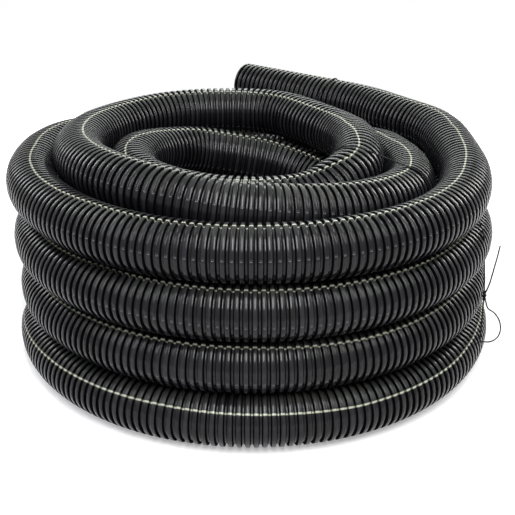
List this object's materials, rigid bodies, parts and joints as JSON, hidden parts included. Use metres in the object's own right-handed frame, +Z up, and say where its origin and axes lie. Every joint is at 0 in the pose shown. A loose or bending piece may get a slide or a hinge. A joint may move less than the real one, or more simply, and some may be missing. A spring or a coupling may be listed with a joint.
{
  "type": "coil of corrugated plastic drainage pipe",
  "caption": "Coil of black corrugated plastic drainage pipe lying flat, wound in layers around an open eye, with one free end and twine ties.",
  "frame": {"origin": "on the floor, under the middle of the coil's outline", "axes": "+Z up along the coil's axis, +Y from the front of the coil to the back, where the free end lies, +X to the right as seen from the front"},
  "size_m": [1.1362, 1.3593, 0.5366],
  "materials": {
    "black_plastic": "satin",
    "twine": "matte"
  },
  "bodies": {
    "root": {"drainage_pipe": "black_plastic", "bundle_tie": "twine", "end_tie": "twine"}
  },
  "joints": []
}
